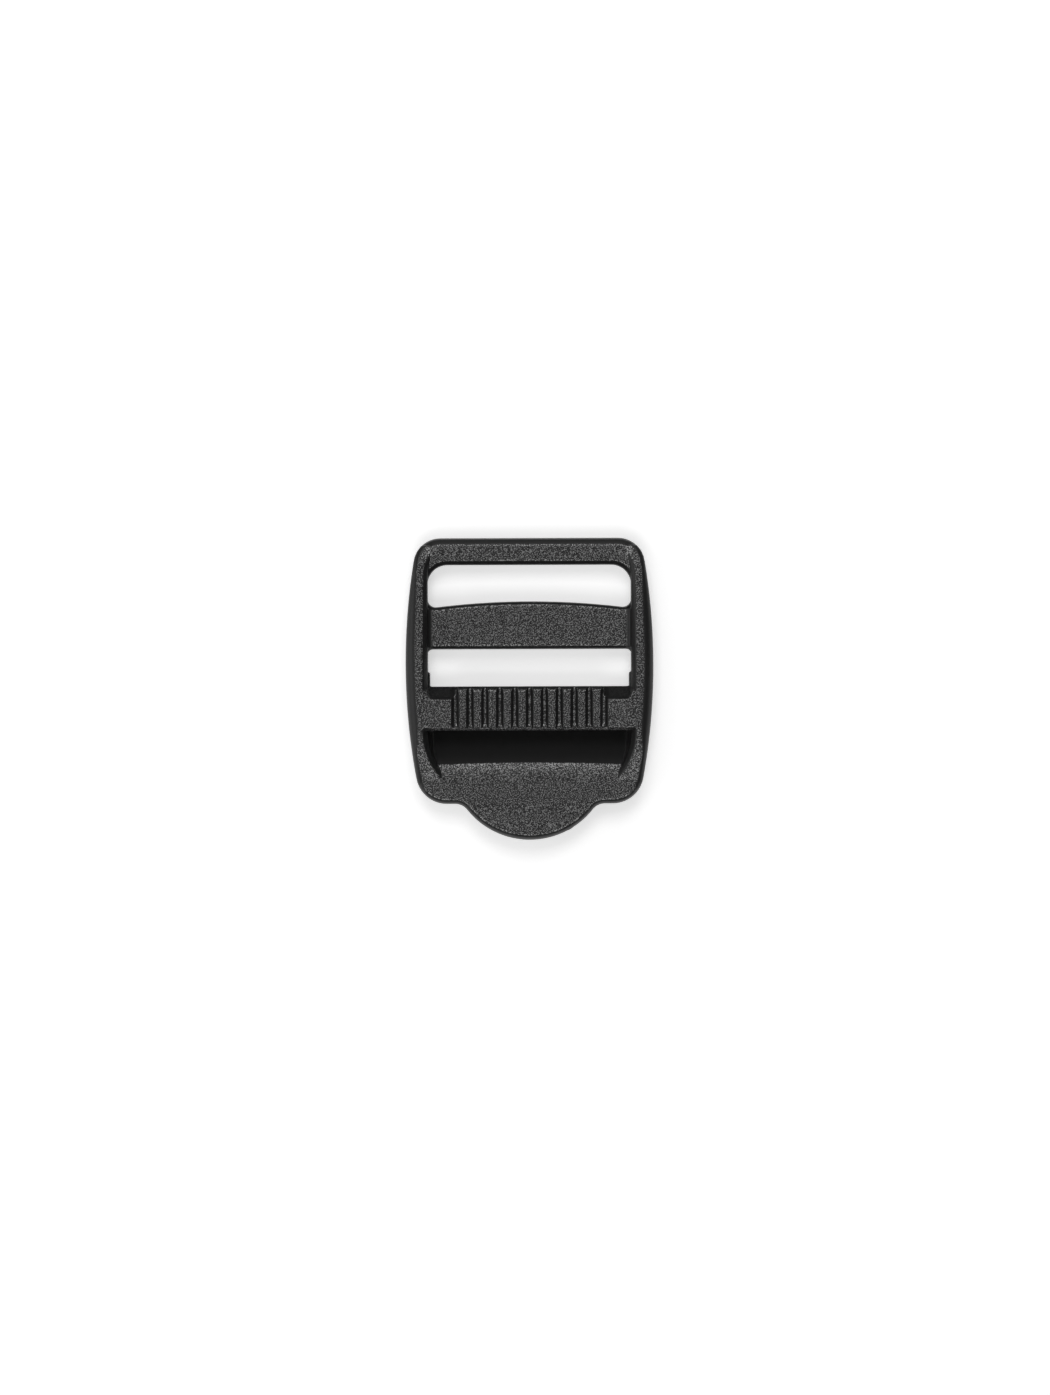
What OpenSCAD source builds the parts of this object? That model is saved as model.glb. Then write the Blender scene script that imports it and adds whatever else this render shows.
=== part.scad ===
// Ladder-lock strap slider for flat webbing: one rigid plastic moulding, given here as the members that form it.
// X runs across the webbing, Y along it with the anchor bar at +Y and the lift tab at -Y.
// Z is up from the flat undersides of the rails. The origin is under the middle of the length and the width.

/* [Webbing] */
// Width of the webbing that the slider is made for
webbing_w = 25; // [24:0.5:32]
// How much wider than the webbing the slots are
slot_clearance = 1.5; // [1:0.1:2]

/* [Frame] */
// Length over the anchor bar and the lift tab
overall_l = 39.3; // [39:0.1:41]
// Width of one rail where the frame is widest
rail_w = 2.84; // [2.5:0.02:3.2]
// Height of the rails at their highest point
rail_h = 6.8; // [6.6:0.1:7.4]
// Radius of the bowed sides, seen from above
side_r = 84; // [70:1:120]
// Radius of the outer corners at the anchor bar
corner_r = 3.45; // [3:0.05:4]
// Radius of the barrel curve of the rails' outer faces
barrel_r = 5.95; // [5.5:0.05:8]
// Height of the parting line, where the outer faces are widest
parting_z = 3.5; // [3.2:0.1:3.8]

/* [Bars] */
// Width of the anchor bar
anchor_w = 3.5; // [3:0.1:3.8]
// Underside of the anchor bar above the rails' undersides
anchor_lift = 0.9; // [0.5:0.1:1.2]
// Length of the anchor slot at its middle
anchor_slot_l = 4.76; // [4.6:0.02:5]
// Width of the centre bar at its middle
centre_w = 6.22; // [5.8:0.02:6.4]
// Thickness of the centre bar
centre_t = 2.6; // [2.2:0.1:3]
// Top of the centre bar
centre_top = 4.4; // [4:0.1:4.8]
// Radius of the crown on the centre bar's rear edge
crown_r = 100; // [90:1:160]
// Length of the strap slot
strap_slot_l = 4.83; // [4.7:0.01:5]
// Width of the lock bar
lock_w = 5.73; // [5.5:0.01:5.9]
// Underside of the lock bar
lock_under = 3.6; // [3.4:0.1:3.9]
// How far the lock bar's front face leans back at its ends
notch_w = 1.61; // [1.2:0.01:1.9]

/* [Grip ribs] */
// Number of grip ribs on the lock bar
rib_count = 10; // [6:1:10]
// Distance from one rib to the next
rib_pitch = 1.93; // [1.8:0.01:1.95]
// Width of a rib at its top
rib_top_w = 0.93; // [0.7:0.01:1.1]
// Height of a rib above the groove floor
rib_h = 0.65; // [0.4:0.05:0.8]

/* [Throat and tab] */
// Length of the throat between the lock bar and the tab
throat_l = 4.26; // [4.1:0.02:4.4]
// Slope of the wall that rises from the lip to the tab
ramp_a = 37; // [35:0.5:39]
// Radius that rounds the wall over into the top of the tab
brow_r = 4; // [3.6:0.1:4.2]
// Top of the tab at its root
tab_top = 5.4; // [5.3:0.1:5.6]
// Thickness of the tab
tab_t = 2.3; // [2:0.1:2.6]
// Radius of the tab's rounded end, seen from above
tab_r = 10.4; // [9.8:0.1:10.8]
// How far the tab reaches past the shoulders
tab_reach = 4.72; // [4.4:0.02:5]
// Radius of the inner curve between the tab and a shoulder
tab_fillet_r = 2; // [1.6:0.1:2.4]
// Radius of the shoulders
shoulder_r = 4; // [3.6:0.1:4.2]
// Radius of the gentle upward flare of the tab
flare_r = 60; // [40:1:120]

/* [Hidden] */
$fn = 240;

plastic = [0.09, 0.09, 0.09];
big = 60;

// Half-widths across the webbing
slot_hw = (webbing_w + slot_clearance) / 2;
half_w = slot_hw + rail_w;
step_w = 0.28;
step_l = 1.83;

// Places along the webbing, from the anchor bar to the tab
end_y = overall_l / 2;
anchor_y = end_y - anchor_w;
crown_y = anchor_y - anchor_slot_l;
centre_y = crown_y - centre_w;
lock_y = centre_y - strap_slot_l;
plateau_y = lock_y - notch_w;
lock_rear_y = lock_y - lock_w;
throat_y = lock_rear_y - throat_l;
shoulder_y = -end_y + tab_reach;
shoulder_cy = shoulder_y + shoulder_r;

// Outline seen from above: every arc runs smoothly into the next
bow_y = 3.3;
side_cx = half_w - side_r;
corner_cy = end_y - corner_r;
corner_a = asin((corner_cy - bow_y) / (side_r - corner_r));
corner_cx = side_cx + (side_r - corner_r) * cos(corner_a);
shoulder_a = asin((shoulder_cy - bow_y) / (side_r - shoulder_r));
shoulder_cx = side_cx + (side_r - shoulder_r) * cos(shoulder_a);
tab_cy = -end_y + tab_r;
fillet_cy = shoulder_y - tab_fillet_r;
fillet_cx = sqrt(pow(tab_r + tab_fillet_r, 2) - pow(fillet_cy - tab_cy, 2));
fillet_a = atan2(fillet_cy - tab_cy, fillet_cx);
slot_corner_r = 2.6;
leg_y = anchor_y - slot_corner_r;

// Side view of the frame: an arch to the anchor bar, a shorter one down to the tab
apex_y = -3;
arch_r = 98;
nose_r = 29;
rocker_y = -6;
rocker_r = 8.2;
anchor_foot_y = 14.4;
nose_end_y = apex_y - sqrt(pow(nose_r, 2) - pow(nose_r - rail_h + tab_top, 2));
rocker_end_y = rocker_y - sqrt(pow(rocker_r, 2) - pow(rocker_r - tab_top + tab_t, 2));
bar_round = 1;

// Lock bar, ribs and throat
lock_top = rail_h - 0.05;
groove_z = lock_top - rib_h;
rib_rear_y = lock_rear_y + 0.34;
rib_base_w = rib_pitch - 0.3;
rib_slope_w = (rib_base_w - rib_top_w) / 2;
row_hw = (rib_count + 1) * rib_pitch / 2 - rib_pitch / 2 + 0.15;
lock_foot = 0.5;
throat_r = 9.3;
throat_hw = slot_hw + 0.4;
brow_y = throat_y - 2.55;
brow_z = tab_top - brow_r;
ramp_top_y = brow_y + brow_r * sin(ramp_a);
ramp_top_z = brow_z + brow_r * cos(ramp_a);
lip_y = lock_rear_y - 0.06;
lip_top = ramp_top_z - (lip_y - ramp_top_y) * tan(ramp_a);
lip_under = 0.5;
lip_foot_y = lip_y - 1.7;

function arc(c, r, a0, a1, steps = 12) =
    [for (i = [0:steps]) let (a = a0 + (a1 - a0) * i / steps) c + r * [cos(a), sin(a)]];
function flipped(points) = [for (i = [len(points) - 1:-1:0]) [-points[i][0], points[i][1]]];
function backwards(points) = [for (i = [len(points) - 1:-1:0]) points[i]];
function side_angle(y) = asin((y - bow_y) / side_r);

// Heights of the frame's top and underside along its length
function fall(r, d) = r - sqrt(r * r - d * d);
function arch_z(y) = rail_h - fall(y > apex_y ? arch_r : nose_r, y - apex_y);
function tab_z(y) = tab_top + fall(flare_r, min(0, y - nose_end_y));
function top_z(y) = y > nose_end_y ? arch_z(y) : tab_z(y);
function foot_z(y) = anchor_lift * max(0, y - anchor_foot_y) / (anchor_y - anchor_foot_y);
function under_z(y) =
    y < rocker_end_y ? tab_z(y) - tab_t : y < rocker_y ? fall(rocker_r, y - rocker_y) : min(anchor_lift, foot_z(y));

// Points of the side view between two places along the length
function side_view(y0, y1, steps) = let (ys = [for (i = [0:steps]) y0 + (y1 - y0) * i / steps])
    concat([for (y = ys) [y, under_z(y)]], backwards([for (y = ys) [y, top_z(y)]]));

// A side view, drawn as Y and Z, carried across the width
module across(width) {
    rotate([90, 0, 90])
        linear_extrude(height = width, center = true)
            children();
}

// An outline seen from above, made taller than the part
module upright() {
    translate([0, 0, -1])
        linear_extrude(height = rail_h + 3)
            children();
}

// The barrel-shaped outer edge of the frame: what lies within a depth of an edge at distance r
module edge_profile(r, depth) {
    intersection() {
        translate([r - depth, -1])
            square([depth, rail_h + 3]);
        union() {
            translate([r - barrel_r, parting_z])
                circle(barrel_r);
            translate([r - depth - barrel_r, -1])
                square([depth, rail_h + 3]);
        }
    }
}

// The bowed right side, as deep as the frame is wide
module right_side() {
    sweep_a = 30;
    translate([side_cx, bow_y, 0])
        rotate([0, 0, -sweep_a])
            rotate_extrude(angle = 2 * sweep_a)
                edge_profile(side_r, 2 * half_w);
}

// The throat seen from above: a long hole with round ends
module throat_plan() {
    for (s = [-1, 1])
        translate([s * (throat_hw - throat_r), lock_rear_y])
            circle(throat_r);
    square_l = 2 * (throat_hw - throat_r);
    translate([-square_l / 2, lock_rear_y - throat_r])
        square([square_l, 2 * throat_r]);
}

// The rail's side view: the arch, the nose that falls to the tab and the rocker under it
module rail_side() {
    translate([apex_y, 0])
        intersection() {
            translate([0, rail_h - arch_r])
                circle(arch_r);
            square([leg_y - apex_y, rail_h + 1]);
        }
    intersection() {
        translate([apex_y, rail_h - nose_r])
            circle(nose_r);
        translate([shoulder_cy, 0])
            square([apex_y - shoulder_cy, rail_h + 1]);
        union() {
            translate([rocker_y, rocker_r])
                circle(rocker_r);
            translate([rocker_y, 0])
                square([apex_y - rocker_y, rail_h + 1]);
        }
    }
}

// The rail seen from above: straight beside the slots, hollowed in a curve beside the throat
module rail_plan() {
    inward = 4;
    difference() {
        translate([slot_hw - inward, shoulder_cy])
            square([rail_w + inward, leg_y - shoulder_cy]);
        translate([slot_hw - big, lock_rear_y - step_l])
            square([big, big]);
        intersection() {
            throat_plan();
            translate([0, lock_rear_y - throat_r])
                square([big, throat_r]);
        }
    }
}

module right_rail_solid() {
    intersection() {
        right_side();
        across(big) rail_side();
        upright() rail_plan();
    }
    translate([slot_hw - step_w, lock_y, 0])
        cube([2 * step_w, step_l, centre_top]);
}

module right_rail() {
    color(plastic) right_rail_solid();
}

module left_rail() {
    color(plastic) mirror([1, 0, 0]) right_rail_solid();
}

// The bar that the fixed webbing is sewn round, with the two outer corners of the frame
module anchor_bar() {
    // Beside the rails the outline stays clear of the barrel curve, which trims it
    clear = 0.05;
    leg_edge = [for (a = [side_angle(leg_y), corner_a]) [side_cx, bow_y] + (side_r + clear) * [cos(a), sin(a)]];
    corner_edge = arc([corner_cx, corner_cy], corner_r, corner_a, 90);
    outer = concat(leg_edge, [for (i = [1:len(corner_edge) - 1]) corner_edge[i]]);
    inner = arc([slot_hw - slot_corner_r, leg_y], slot_corner_r, 90, 0);
    straight_y = end_y - bar_round;
    end_round = concat(
        arc([straight_y, anchor_lift + bar_round], bar_round, -90, 0, 6),
        arc([straight_y, top_z(straight_y) - bar_round], bar_round, 0, 90, 6));
    steps = 12;
    view = side_view(leg_y, straight_y - 0.05, steps);
    bottom = [for (i = [0:steps]) view[i]];
    top = [for (i = [steps + 1:2 * steps + 1]) view[i]];
    color(plastic)
        intersection() {
            upright() polygon(concat(outer, flipped(outer), flipped(inner), inner));
            across(big) polygon(concat(bottom, end_round, top));
            right_side();
            mirror([1, 0, 0]) right_side();
        }
}

// The bar that the running webbing turns over, crowned towards the anchor slot
module centre_bar() {
    front_r = 0.65;
    rear_r = 1.1;
    rear_x = slot_hw - rear_r;
    rear_y = crown_y - fall(crown_r, rear_x);
    crown_a = asin(rear_x / crown_r);
    right = concat(
        arc([slot_hw - front_r, centre_y - front_r], front_r, 90, 0, 6),
        arc([rear_x, rear_y + rear_r], rear_r, 0, -90, 6));
    crown = arc([0, crown_y - crown_r], crown_r, 90 - crown_a, 90 + crown_a, 24);
    color(plastic)
        translate([0, 0, centre_top - centre_t])
            linear_extrude(height = centre_t)
                polygon(concat(right, crown, flipped(right)));
}

// The raised bar that grips the webbing, with a shallow bed for the ribs
module lock_bar() {
    edge = 0.3;
    body = [
        [lock_y, lock_under], [lock_y, lock_under + lock_foot], [plateau_y, lock_top],
        [lock_rear_y + edge, lock_top], [lock_rear_y, lock_top - edge], [lock_rear_y, lock_under]
    ];
    pad = [
        [lock_y, lock_under], [lock_y, groove_z - edge], [lock_y - edge, groove_z],
        [plateau_y, groove_z], [plateau_y, lock_under]
    ];
    bed = [
        [-row_hw, groove_z], [row_hw, groove_z],
        [row_hw + rib_slope_w, lock_top], [row_hw + rib_slope_w, lock_top + 1],
        [-row_hw - rib_slope_w, lock_top + 1], [-row_hw - rib_slope_w, lock_top]
    ];
    color(plastic)
        difference() {
            union() {
                across(2 * slot_hw) polygon(body);
                across(2 * row_hw) polygon(pad);
            }
            translate([0, rib_rear_y, 0])
                rotate([90, 0, 180])
                    linear_extrude(height = big)
                        polygon(bed);
        }
}

// The row of grip ribs, each a separate solid on the lock bar's bed
module grip_ribs() {
    front_y = lock_y - 0.1;
    lean = 0.45;
    rib = [
        [-rib_base_w / 2, groove_z], [rib_base_w / 2, groove_z],
        [rib_top_w / 2, lock_top], [-rib_top_w / 2, lock_top]
    ];
    side = [[rib_rear_y, 0], [front_y, 0], [front_y, groove_z], [front_y - lean, lock_top], [rib_rear_y, lock_top]];
    color(plastic)
        for (i = [0:rib_count - 1])
            translate([(i - (rib_count - 1) / 2) * rib_pitch, 0, 0])
                intersection() {
                    translate([0, rib_rear_y, 0])
                        rotate([90, 0, 180])
                            linear_extrude(height = lock_w)
                                polygon(rib);
                    across(rib_pitch) polygon(side);
                }
}

// The wall behind the lock bar, from the lip under it up to the brow of the tab
module strap_ramp() {
    split_a = acos((shoulder_cy - brow_y) / brow_r);
    wall = concat(
        arc([brow_y, brow_z], brow_r, split_a, 90 - ramp_a, 6),
        [
            [lip_y, lip_top], [lip_y, lip_under], [lip_foot_y, lip_under],
            [shoulder_cy, tab_top - tab_t]
        ]);
    color(plastic)
        intersection() {
            across(big) polygon(wall);
            upright() throat_plan();
        }
}

// The tab that is lifted to let the webbing run
module lift_tab() {
    edge = concat(
        arc([0, tab_cy], tab_r, -90, fillet_a, 16),
        arc([fillet_cx, fillet_cy], tab_fillet_r, fillet_a + 180, 90, 8),
        [[shoulder_cx, shoulder_y], [shoulder_cx, shoulder_cy]]);
    ys = [for (i = [0:16]) shoulder_cy - (shoulder_cy + end_y + 1) * i / 16];
    brow = arc([brow_y, brow_z], brow_r, acos((shoulder_cy - brow_y) / brow_r), 90, 3);
    top = concat(brow, [for (y = ys) if (y < brow_y) [y, tab_z(y)]]);
    bottom = [for (i = [16:-1:0]) [ys[i], tab_z(ys[i]) - tab_t]];
    color(plastic)
        intersection() {
            upright() polygon(concat(edge, flipped(edge)));
            across(big) polygon(concat(top, bottom));
        }
}

module right_shoulder_solid() {
    edge = concat(
        [[shoulder_cx, shoulder_cy]],
        arc([shoulder_cx, shoulder_cy], shoulder_r, -90, shoulder_a),
        [[half_w, shoulder_cy]]);
    intersection() {
        right_side();
        upright() polygon(edge);
        across(big) polygon(side_view(shoulder_y - 1, shoulder_cy, 12));
    }
}

module right_shoulder() {
    color(plastic) right_shoulder_solid();
}

module left_shoulder() {
    color(plastic) mirror([1, 0, 0]) right_shoulder_solid();
}

left_rail();
right_rail();
anchor_bar();
centre_bar();
lock_bar();
grip_ribs();
strap_ramp();
lift_tab();
left_shoulder();
right_shoulder();
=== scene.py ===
import math
import bmesh
import bpy
import numpy as np
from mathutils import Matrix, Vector

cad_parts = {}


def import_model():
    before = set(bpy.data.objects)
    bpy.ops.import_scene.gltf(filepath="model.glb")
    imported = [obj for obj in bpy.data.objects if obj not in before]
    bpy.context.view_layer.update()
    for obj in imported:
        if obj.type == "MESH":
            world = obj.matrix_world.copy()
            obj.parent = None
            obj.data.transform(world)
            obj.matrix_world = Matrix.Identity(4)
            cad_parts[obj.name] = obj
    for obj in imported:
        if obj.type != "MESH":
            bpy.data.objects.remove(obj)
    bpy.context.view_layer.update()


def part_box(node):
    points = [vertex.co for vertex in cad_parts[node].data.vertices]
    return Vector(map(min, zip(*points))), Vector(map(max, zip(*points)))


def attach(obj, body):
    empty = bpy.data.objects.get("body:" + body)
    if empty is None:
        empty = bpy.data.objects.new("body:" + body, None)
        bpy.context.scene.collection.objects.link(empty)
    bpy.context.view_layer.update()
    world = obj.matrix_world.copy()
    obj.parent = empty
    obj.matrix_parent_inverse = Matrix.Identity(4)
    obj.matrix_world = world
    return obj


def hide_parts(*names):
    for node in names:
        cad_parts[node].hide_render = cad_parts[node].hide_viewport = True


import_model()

# everything is modelled in millimetres and made metres at the end
mm = 0.001


def nodeBox(name):  # a CAD node's corners in millimetres
    low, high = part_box(name)
    return low / mm, high / mm


# places that the members share, read off the frame
anchorLow, anchorHigh = nodeBox("anchor_bar")
centreLow, centreHigh = nodeBox("centre_bar")
lockLow, lockHigh = nodeBox("lock_bar")
railHigh = nodeBox("right_rail")[1]
slotHalf = centreHigh.x
halfWidth = railHigh.x
railHeight = railHigh.z
endY = anchorHigh.y
legY = anchorLow.y
splitY = nodeBox("lift_tab")[1].y

outline = {  # arcs of the frame seen from above
    "sideRadius": 84.0,
    "bowY": 3.3,  # where the frame is widest
    "cornerRadius": 3.45,
    "shoulderRadius": 4.0,
    "tabFillet": 2.0,
    "tabRadius": 10.4,
}


def fall(radius, run):  # drop of an arc after a run along its tangent
    return radius - math.sqrt(radius * radius - run * run)


def arcPoints(centre, radius, fromAngle, toAngle, steps):
    points = []
    for i in range(steps + 1):
        a = math.radians(fromAngle + (toAngle - fromAngle) * i / steps)
        points.append((centre[0] + radius * math.cos(a), centre[1] + radius * math.sin(a)))
    return points


def mirrored(points):
    return [(-x, y) for x, y in reversed(points)]


sideX = halfWidth - outline["sideRadius"]
shoulderReach = outline["sideRadius"] - outline["shoulderRadius"]
shoulderAngle = math.asin((splitY - outline["bowY"]) / shoulderReach)
shoulderX = sideX + shoulderReach * math.cos(shoulderAngle)
shoulderEndY = splitY - outline["shoulderRadius"]
cornerReach = outline["sideRadius"] - outline["cornerRadius"]
cornerY = endY - outline["cornerRadius"]
cornerAngle = math.asin((cornerY - outline["bowY"]) / cornerReach)
cornerX = sideX + cornerReach * math.cos(cornerAngle)


def outerX(y):  # right edge of the frame seen from above
    if y < splitY + outline["shoulderRadius"] * math.sin(shoulderAngle):
        return shoulderX + math.sqrt(outline["shoulderRadius"] ** 2 - (y - splitY) ** 2)
    if y > cornerY + outline["cornerRadius"] * math.sin(cornerAngle):
        return cornerX + math.sqrt(outline["cornerRadius"] ** 2 - (y - cornerY) ** 2)
    return sideX + math.sqrt(outline["sideRadius"] ** 2 - (y - outline["bowY"]) ** 2)


# hand tools

def workOn(piece):
    bpy.ops.object.select_all(action="DESELECT")
    piece.select_set(True)
    bpy.context.view_layer.objects.active = piece


def intoEdit(piece):
    workOn(piece)
    bpy.ops.object.mode_set(mode="EDIT")


def outOfEdit():
    bpy.ops.object.mode_set(mode="OBJECT")


def pickFaces(piece, test):  # test reads a face's middle and normal
    bpy.ops.mesh.select_mode(type="FACE")
    bpy.ops.mesh.select_all(action="DESELECT")
    mesh = bmesh.from_edit_mesh(piece.data)
    for face in mesh.faces:
        if test(face.calc_center_median(), face.normal):
            face.select_set(True)
    bmesh.update_edit_mesh(piece.data)


def pickVerts(piece, test):  # test reads a vertex's place
    bpy.ops.mesh.select_mode(type="VERT")
    bpy.ops.mesh.select_all(action="DESELECT")
    mesh = bmesh.from_edit_mesh(piece.data)
    for vert in mesh.verts:
        if test(vert.co):
            vert.select_set(True)
    mesh.select_flush_mode()
    bmesh.update_edit_mesh(piece.data)


def pickEdges(piece, test):  # test reads an edge's middle and direction
    bpy.ops.mesh.select_mode(type="EDGE")
    bpy.ops.mesh.select_all(action="DESELECT")
    mesh = bmesh.from_edit_mesh(piece.data)
    for edge in mesh.edges:
        a, b = edge.verts[0].co, edge.verts[1].co
        if test((a + b) / 2, (b - a).normalized()):
            edge.select_set(True)
    bmesh.update_edit_mesh(piece.data)


def turnOutwards():
    bpy.ops.mesh.select_all(action="SELECT")
    bpy.ops.mesh.normals_make_consistent(inside=False)


def drawOutline(name, points):  # one vertex is extruded from point to point, and the loop is filled
    bpy.ops.object.select_all(action="DESELECT")
    bpy.ops.mesh.primitive_plane_add(size=1, location=(0, 0, 0))
    piece = bpy.context.object
    piece.name = name
    bpy.ops.object.mode_set(mode="EDIT")
    bpy.ops.mesh.select_mode(type="VERT")
    bpy.ops.mesh.select_all(action="SELECT")
    bpy.ops.mesh.merge(type="CENTER")
    here = Vector(points[0])
    bpy.ops.transform.translate(value=here)
    for point in list(points[1:]) + [points[0]]:
        there = Vector(point)
        bpy.ops.mesh.extrude_vertices_move(TRANSFORM_OT_translate={"value": there - here})
        here = there
    bpy.ops.mesh.select_all(action="SELECT")
    bpy.ops.mesh.remove_doubles(threshold=0.001)
    bpy.ops.mesh.edge_face_add()
    return piece


def drawAcross(name, profile, halfWide):  # a side view of y and z, carried across the width
    piece = drawOutline(name, [(-halfWide, y, z) for y, z in profile])
    bpy.ops.mesh.extrude_region_move(TRANSFORM_OT_translate={"value": (2 * halfWide, 0, 0)})
    turnOutwards()
    return piece


thin = 0.05  # a plate before its rims are drawn up and down from it


def roundedPlate(name, points, middleZ, over, under):  # a plan outline with both rims stepped in
    piece = drawOutline(name, [(x, y, middleZ) for x, y in points])
    bpy.ops.mesh.extrude_region_move(TRANSFORM_OT_translate={"value": (0, 0, thin)})
    turnOutwards()
    for up, steps in ((1, over), (-1, under)):
        pickFaces(piece, lambda middle, normal: normal.z * up > 0.9)
        for inward, rise in steps:
            bpy.ops.mesh.inset(thickness=inward, depth=rise, use_even_offset=True)
    return piece


def stepsTo(steps, height):  # the same steps, stretched to a whole height
    whole = sum(rise for inward, rise in steps)
    return [(inward, rise * height / whole) for inward, rise in steps]


def combine(piece, other, operation):
    workOn(piece)
    tool = piece.modifiers.new("combine", "BOOLEAN")
    tool.operation = operation
    tool.solver = "EXACT"
    tool.object = other
    bpy.ops.object.modifier_apply(modifier=tool.name)
    bpy.data.objects.remove(other)


def copyOf(piece, name):
    workOn(piece)
    bpy.ops.object.duplicate()
    copy = bpy.context.object
    copy.name = name
    return copy


def otherSide(piece, name):  # a mirrored copy with its own mesh
    copy = copyOf(piece, name)
    bpy.ops.object.mode_set(mode="EDIT")
    bpy.ops.mesh.select_all(action="SELECT")
    bpy.ops.transform.resize(value=(-1, 1, 1), center_override=(0, 0, 0))
    turnOutwards()
    outOfEdit()
    return copy


# rails: a crowned section carried along the frame, then bowed, arched and narrowed to its place
rail = {
    "innerSide": [  # x and z from the foot up to the crown, where the rail is highest
        (13.40, 0.00), (13.25, 0.20), (13.25, 5.85), (13.32, 6.02), (13.47, 6.26), (13.62, 6.49),
        (13.76, 6.67), (13.92, 6.77), (14.12, 6.80)],
    "roundCentre": (14.34, 5.05),  # outer edge, where the rail is widest
    "roundRadius": 1.75,
    "outerSide": [
        (16.09, 3.50), (16.05, 2.20), (15.96, 1.20), (15.76, 0.55), (15.46, 0.14), (15.11, 0.00)],
    "roundFrom": (-3.5, 8.0),  # past these places along the rail the outer edge's rounding narrows
    "narrowing": (0.029, 0.0116),
    "narrowest": 0.42,
    "crownX": 14.2,  # points inside it follow the inner wall, those outside it the outer edge
    "partingZ": 3.5,
    "apexY": -3.0,
    "archRadius": 98.0,  # from the apex to the anchor bar
    "noseRadius": 29.0,  # from the apex to the tab
    "sinkFromY": 14.0,  # past here the ridge sinks into the corner
    "sink": 0.010,
    "turnFromY": 15.0,  # past here its inner wall turns in
    "turn": 0.09,
    "rockerY": -6.0,
    "rockerRadius": 8.2,
    "rockerMost": 3.3,
    "footRise": 0.06,
    "throatOut": 0.05,  # the throat is wider than the slots by this on each side
    "throatRadius": 9.3,
    "throatLean": 0.4,  # inward lean of the throat's sides, for each millimetre down
    "throatLeanMost": 0.8,
    "throatLeanZ": 6.0,  # the lean starts under the chamfer
    "pastSplit": 1.9,  # how far the blank runs on into the tab
    "shortOfEnd": 1.0,
    "rings": 44,
    "throatRing": 0.02,  # two rings this close to the lock bar's rear face keep the throat's corner
    "throatArc": 0.82,  # share of the throat's radius that its sides follow
    "stepWide": 0.28,  # pad that narrows the strap slot beside the lock bar
    "stepLong": 1.83,
    "stepTop": 4.4,
    "stepBuried": 0.8,  # in the lock bar
    "stepEdge": 0.1,
}


def railTop(y):
    radius = rail["archRadius"] if y > rail["apexY"] else rail["noseRadius"]
    sink = rail["sink"] * max(0.0, y - rail["sinkFromY"]) ** 2
    return railHeight - fall(radius, y - rail["apexY"]) - sink


def railFoot(y):
    if y < rail["rockerY"]:
        return min(rail["rockerMost"], fall(rail["rockerRadius"], y - rail["rockerY"]))
    return rail["footRise"] * max(0.0, y - legY) ** 2


def railInner(y):
    if y >= lockLow.y:
        return slotHalf - rail["turn"] * max(0.0, y - rail["turnFromY"]) ** 2
    run = min(lockLow.y - y, rail["throatRadius"] * rail["throatArc"])
    return slotHalf + rail["throatOut"] - fall(rail["throatRadius"], run)


def roundScale(y):
    front, rear = rail["roundFrom"]
    atFront, atRear = rail["narrowing"]
    past = atFront * max(0.0, front - y) ** 2 + atRear * max(0.0, y - rear) ** 2
    return max(rail["narrowest"], 1 - past)


def onRail(co):  # where a point of the straight bar goes on the bowed and arched rail
    x, y, z = co
    middle = rail["partingZ"]
    rise = (railTop(y) - middle) / (railHeight - middle)
    if x < rail["crownX"]:
        x += railInner(y) - slotHalf
        if y < lockLow.y:
            x -= min(rail["throatLeanMost"], rail["throatLean"] * max(0.0, rail["throatLeanZ"] - z))
    else:
        x = outerX(y) - (halfWidth - x) * roundScale(y)
    if z > middle:
        z = middle + (z - middle) * rise
    else:
        z = middle - (middle - z) * (middle - railFoot(y)) / middle
    return x, y, z


def buildRail():
    firstY = splitY - rail["pastSplit"]
    lastY = endY - rail["shortOfEnd"]
    places = [firstY + (lastY - firstY) * i / rail["rings"] for i in range(rail["rings"] + 1)]
    places = sorted(places + [lockLow.y + rail["throatRing"], lockLow.y - rail["throatRing"]])
    crown = arcPoints(rail["roundCentre"], rail["roundRadius"], 90, 0, 11)
    section = rail["innerSide"] + crown + rail["outerSide"]
    piece = drawOutline("rightRailBlank", [(x, firstY, z) for x, z in section])
    for here, there in zip(places, places[1:]):
        bpy.ops.mesh.extrude_region_move(TRANSFORM_OT_translate={"value": (0, there - here, 0)})
    mesh = bmesh.from_edit_mesh(piece.data)
    for vert in mesh.verts:
        vert.co = onRail(vert.co)
    bmesh.update_edit_mesh(piece.data)
    turnOutwards()
    outOfEdit()
    return piece


def buildStep():
    wide = rail["stepWide"] * 3  # most of it is buried in the rail
    longer = rail["stepBuried"]
    bpy.ops.object.select_all(action="DESELECT")
    bpy.ops.mesh.primitive_cube_add(size=1, location=(0, 0, 0))
    piece = bpy.context.object
    piece.name = "rightStepBlank"
    bpy.ops.object.mode_set(mode="EDIT")
    bpy.ops.transform.resize(value=(wide, rail["stepLong"] + longer, rail["stepTop"]))
    bpy.ops.transform.translate(value=(
        slotHalf - rail["stepWide"] + wide / 2,
        lockHigh.y + (rail["stepLong"] - longer) / 2,
        rail["stepTop"] / 2))
    bpy.ops.mesh.select_all(action="SELECT")
    bpy.ops.mesh.bevel(offset=rail["stepEdge"], segments=2)
    outOfEdit()
    return piece


rightRail = buildRail()
leftRail = otherSide(rightRail, "leftRailBlank")
rightStep = buildStep()
leftStep = otherSide(rightStep, "leftStepBlank")
print("rails blanked out")

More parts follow.
